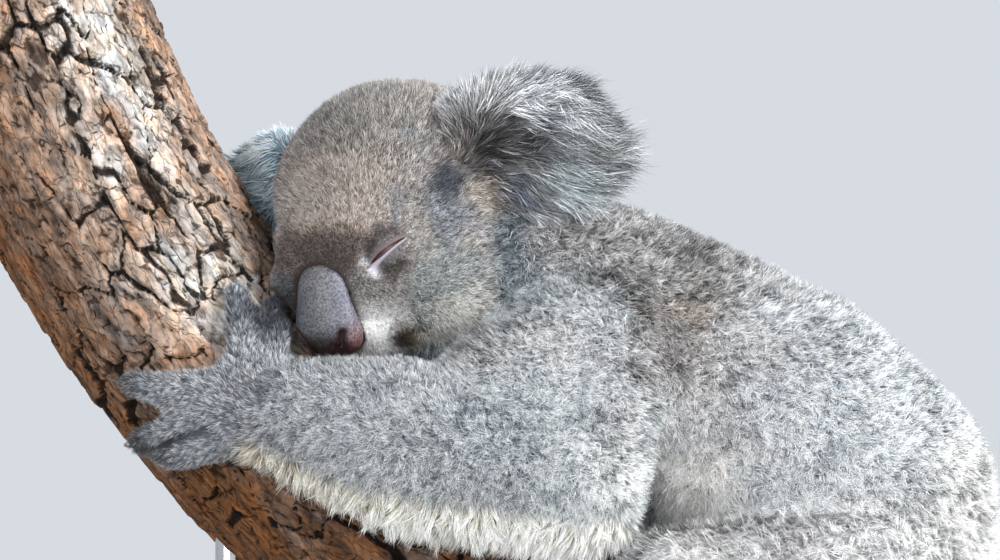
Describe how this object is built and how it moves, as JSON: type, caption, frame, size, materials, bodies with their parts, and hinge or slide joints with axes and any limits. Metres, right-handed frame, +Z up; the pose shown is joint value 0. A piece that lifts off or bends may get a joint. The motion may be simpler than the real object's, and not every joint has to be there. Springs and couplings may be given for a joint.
{
  "type": "sleeping koala model on a bough and display stand",
  "caption": "Life-size museum-style model of a sleeping koala that hugs a leaning bough, held on a flat base by rods.",
  "frame": {"origin": "centre of the stand's underside", "axes": "+Z up; the koala's head is towards -X and its left side towards -Y"},
  "size_m": [0.6371, 0.28, 0.6194],
  "materials": {
    "fur": "matt grey fur",
    "ear_fur": "long pale grey fur",
    "nose": "finely grained bare skin",
    "eye": "polished, under closed lids",
    "claw": "dark horn",
    "bark": "rough cracked bark",
    "base": "dark satin stain",
    "rod": "brushed"
  },
  "bodies": {
    "root": {"claw_foot_left_2": "claw", "claw_foot_left_3": "claw", "claw_foot_left_4": "claw", "claw_foot_left_5": "claw", "claw_foot_right_2": "claw", "claw_foot_right_3": "claw", "claw_foot_right_4": "claw", "claw_foot_right_5": "claw", "claw_hand_left_1": "claw", "claw_hand_left_2": "claw", "claw_hand_left_3": "claw", "claw_hand_left_4": "claw", "claw_hand_left_5": "claw", "claw_hand_right_1": "claw", "claw_hand_right_2": "claw", "claw_hand_right_3": "claw", "claw_hand_right_4": "claw", "claw_hand_right_5": "claw", "ear_left": "ear_fur", "ear_right": "ear_fur", "eye_left": "eye", "eye_right": "eye", "foot_left": "fur", "foot_right": "fur", "forearm_left": "fur", "forearm_right": "fur", "hand_left": "fur", "hand_right": "fur", "head": "fur", "neck": "fur", "nose": "nose", "perch_bough": "bark", "shin_left": "fur", "shin_right": "fur", "stand_base": "base", "stand_rod_1": "rod", "stand_rod_2": "rod", "thigh_left": "fur", "thigh_right": "fur", "torso": "fur", "upper_arm_left": "fur", "upper_arm_right": "fur"}
  },
  "joints": []
}
